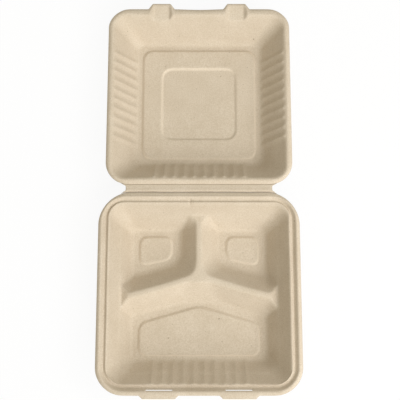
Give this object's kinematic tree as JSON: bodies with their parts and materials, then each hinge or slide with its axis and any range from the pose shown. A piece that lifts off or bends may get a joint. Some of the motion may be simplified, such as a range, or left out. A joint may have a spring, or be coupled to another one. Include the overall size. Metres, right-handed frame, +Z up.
{
  "type": "clamshell container",
  "caption": "Hinged square food container pressed from plant fibre, opened flat: compartment base with a Y divider, fold-over lid with tuck tongues.",
  "frame": {"origin": "on the table, under the crease between the base and the hinge strip, midway across", "axes": "+Y from the base towards the opened lid, +Z up, X across along the creases"},
  "size_m": [0.228, 0.4612, 0.043],
  "materials": {
    "moulded_fibre": "unbleached pressed plant fibre, matt, with fine darker flecks"
  },
  "bodies": {
    "base": {"base_tray": "moulded_fibre"},
    "strip": {"hinge_strip": "moulded_fibre"},
    "lid": {"lid": "moulded_fibre"}
  },
  "joints": [
    {"name": "strip_fold", "type": "hinge", "parent": "base", "child": "strip", "pos_m": [0, 0, 0.039], "axis": [1, 0, 0], "range_deg": [0, 138.47]},
    {"name": "lid_fold", "type": "hinge", "parent": "strip", "child": "lid", "pos_m": [0, 0.0092, 0.039], "axis": [1, 0, 0], "range_deg": [0, 42.17]}
  ],
  "couplings": [
    {"joint": "lid_fold", "follows": "strip_fold", "ratio": 0.30447}
  ]
}
